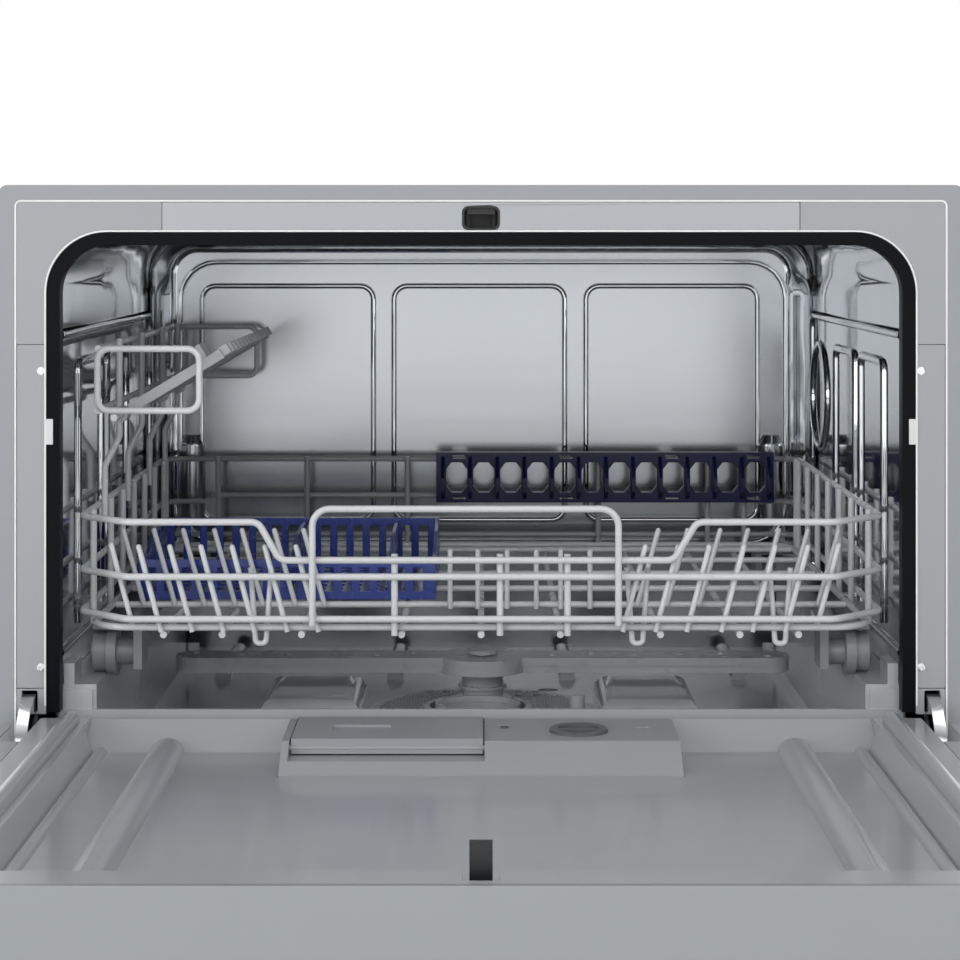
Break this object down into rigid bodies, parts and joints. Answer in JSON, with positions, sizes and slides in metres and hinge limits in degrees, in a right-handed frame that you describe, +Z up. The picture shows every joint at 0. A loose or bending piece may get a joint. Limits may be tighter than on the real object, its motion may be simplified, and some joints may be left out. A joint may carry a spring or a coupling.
{
  "type": "countertop dishwasher",
  "caption": "Compact countertop dishwasher with a drop-down door, wire basket on rollers, fold-down cup shelf, cutlery basket and spinning spray arm.",
  "frame": {"origin": "on the worktop, under the middle of the machine with its door open", "axes": "+X across to the machine's right-hand side as seen from the front, +Y from the open door to the back, +Z up"},
  "size_m": [0.55, 0.827, 0.438],
  "materials": {
    "casing_paint": "satin silver paint",
    "zinc_steel": "zinc-plated sheet",
    "stainless": "bright rolled stainless steel",
    "bright_steel": "bright plated",
    "frame_plastic": "fine satin grey",
    "top_strip_plastic": "fine satin light grey",
    "fascia_plastic": "satin silver",
    "trim_plastic": "bright edge line",
    "floor_plastic": "moulded grey, slightly glossy",
    "liner_plastic": "moulded light grey",
    "dispenser_plastic": "satin grey",
    "dark_plastic": "moulded dark grey",
    "arm_plastic": "moulded grey",
    "gasket_rubber": "black, soft sheen",
    "foot_rubber": "matt black",
    "coated_wire": "light grey vinyl coating on steel wire",
    "roller_plastic": "satin grey",
    "shelf_plastic": "satin light grey",
    "comb_plastic": "deep navy",
    "cutlery_plastic": "royal blue, slightly clear",
    "display_glass": "smoked window",
    "button_plastic": "silver",
    "valve_plastic": "white moulding",
    "board": "green laminate"
  },
  "bodies": {
    "cabinet": {"outer_casing": "casing_paint", "back_panel": "zinc_steel", "base_tray": "dark_plastic", "plinth_panel": "fascia_plastic", "levelling_feet": "foot_rubber", "frame_corner_left": "frame_plastic", "frame_corner_right": "frame_plastic", "frame_top_strip": "top_strip_plastic", "frame_side_strips": "frame_plastic", "frame_trim": "trim_plastic", "hinge_covers": "frame_plastic", "frame_screws": "bright_steel", "buffer_clips": "valve_plastic", "latch_strike": "roller_plastic", "tub_gasket": "gasket_rubber", "tub_wrap": "stainless", "tub_back_wall": "stainless", "tub_floor": "floor_plastic", "sump_housing": "dark_plastic", "filter_plate": "arm_plastic", "spray_hub": "arm_plastic", "wash_pump": "dark_plastic", "flow_heater": "zinc_steel", "drain_pump": "dark_plastic", "inlet_valve": "valve_plastic", "drain_spigot": "dark_plastic", "cord_gland": "foot_rubber", "hinge_brackets": "bright_steel"},
    "spray_arm": {"spray_arm_lower": "arm_plastic", "spray_arm_upper": "arm_plastic"},
    "filter": {"filter_cylinder": "arm_plastic"},
    "door": {"door_outer_panel": "casing_paint", "door_liner": "liner_plastic", "door_fascia": "fascia_plastic", "dispenser_housing": "dispenser_plastic", "door_hinge_arms": "bright_steel", "door_hinge_pins": "bright_steel", "door_bottom_seal": "gasket_rubber", "display_window": "display_glass", "control_board": "board"},
    "detergent_lid": {"detergent_lid": "dispenser_plastic"},
    "rinse_aid_cap": {"rinse_aid_cap": "dispenser_plastic"},
    "latch_hook": {"latch_hook": "dark_plastic"},
    "power_button": {"power_button": "button_plastic"},
    "program_button": {"program_button": "button_plastic"},
    "start_button": {"start_button": "button_plastic"},
    "basket": {"basket_front_fence": "coated_wire", "basket_side_fences": "coated_wire", "basket_rear_fence": "coated_wire", "basket_floor": "coated_wire", "plate_tines": "coated_wire", "cup_rack_wires": "coated_wire", "roller_brackets": "roller_plastic", "plate_comb": "comb_plastic"},
    "roller_front_left": {"roller_front_left": "roller_plastic"},
    "roller_front_right": {"roller_front_right": "roller_plastic"},
    "roller_rear_left": {"roller_rear_left": "roller_plastic"},
    "roller_rear_right": {"roller_rear_right": "roller_plastic"},
    "cup_shelf": {"cup_shelf": "shelf_plastic"},
    "cutlery_basket": {"cutlery_basket": "cutlery_plastic"}
  },
  "joints": [
    {"name": "door_hinge", "type": "hinge", "parent": "cabinet", "child": "door", "pos_m": [0, -0.0855, 0.11], "axis": [-1, 0, 0], "range_deg": [0, 90]},
    {"name": "basket_slide", "type": "slide", "parent": "cabinet", "child": "basket", "axis": [0, 1, 0], "range_m": [-0.3, 0]},
    {"name": "roller_front_left_spin", "type": "hinge", "parent": "basket", "child": "roller_front_left", "pos_m": [-0.217, -0.0045, 0.163], "axis": [1, 0, 0], "continuous": true},
    {"name": "roller_front_right_spin", "type": "hinge", "parent": "basket", "child": "roller_front_right", "pos_m": [0.217, -0.0045, 0.163], "axis": [1, 0, 0], "continuous": true},
    {"name": "roller_rear_left_spin", "type": "hinge", "parent": "basket", "child": "roller_rear_left", "pos_m": [-0.217, 0.3255, 0.163], "axis": [1, 0, 0], "continuous": true},
    {"name": "roller_rear_right_spin", "type": "hinge", "parent": "basket", "child": "roller_rear_right", "pos_m": [0.217, 0.3255, 0.163], "axis": [1, 0, 0], "continuous": true},
    {"name": "spray_arm_spin", "type": "hinge", "parent": "cabinet", "child": "spray_arm", "pos_m": [0.001, 0.1575, 0.1275], "axis": [0, 0, 1], "continuous": true},
    {"name": "filter_turn", "type": "hinge", "parent": "cabinet", "child": "filter", "pos_m": [-0.002, 0.0905, 0.09], "axis": [0, 0, 1], "range_deg": [0, 90]},
    {"name": "detergent_lid_hinge", "type": "hinge", "parent": "door", "child": "detergent_lid", "pos_m": [-0.051, -0.1243, 0.131], "axis": [1, 0, 0], "range_deg": [0, 90]},
    {"name": "rinse_aid_cap_turn", "type": "hinge", "parent": "door", "child": "rinse_aid_cap", "pos_m": [0.054, -0.0995, 0.131], "axis": [0, 0, 1], "range_deg": [0, 90]},
    {"name": "latch_hook_pivot", "type": "hinge", "parent": "door", "child": "latch_hook", "pos_m": [0, -0.394, 0.118], "axis": [-1, 0, 0], "range_deg": [0, 6], "stiffness_Nm_per_rad": 0.6},
    {"name": "power_button_press", "type": "slide", "parent": "door", "child": "power_button", "axis": [0, 0, 1], "range_m": [0, 0.002], "stiffness_N_per_m": 600},
    {"name": "program_button_press", "type": "slide", "parent": "door", "child": "program_button", "axis": [0, 0, 1], "range_m": [0, 0.002], "stiffness_N_per_m": 600},
    {"name": "start_button_press", "type": "slide", "parent": "door", "child": "start_button", "axis": [0, 0, 1], "range_m": [0, 0.002], "stiffness_N_per_m": 600},
    {"name": "cup_shelf_fold", "type": "hinge", "parent": "basket", "child": "cup_shelf", "pos_m": [-0.216, 0.1505, 0.30195], "axis": [0, -1, 0], "range_deg": [-31, 55]},
    {"name": "cutlery_basket_lift", "type": "slide", "parent": "basket", "child": "cutlery_basket", "axis": [0, 0, 1], "range_m": [0, 0.07]}
  ],
  "couplings": [
    {"joint": "roller_front_left_spin", "follows": "basket_slide", "rad_per_m": -84.746},
    {"joint": "roller_front_right_spin", "follows": "basket_slide", "rad_per_m": -84.746},
    {"joint": "roller_rear_left_spin", "follows": "basket_slide", "rad_per_m": -84.746},
    {"joint": "roller_rear_right_spin", "follows": "basket_slide", "rad_per_m": -84.746}
  ]
}
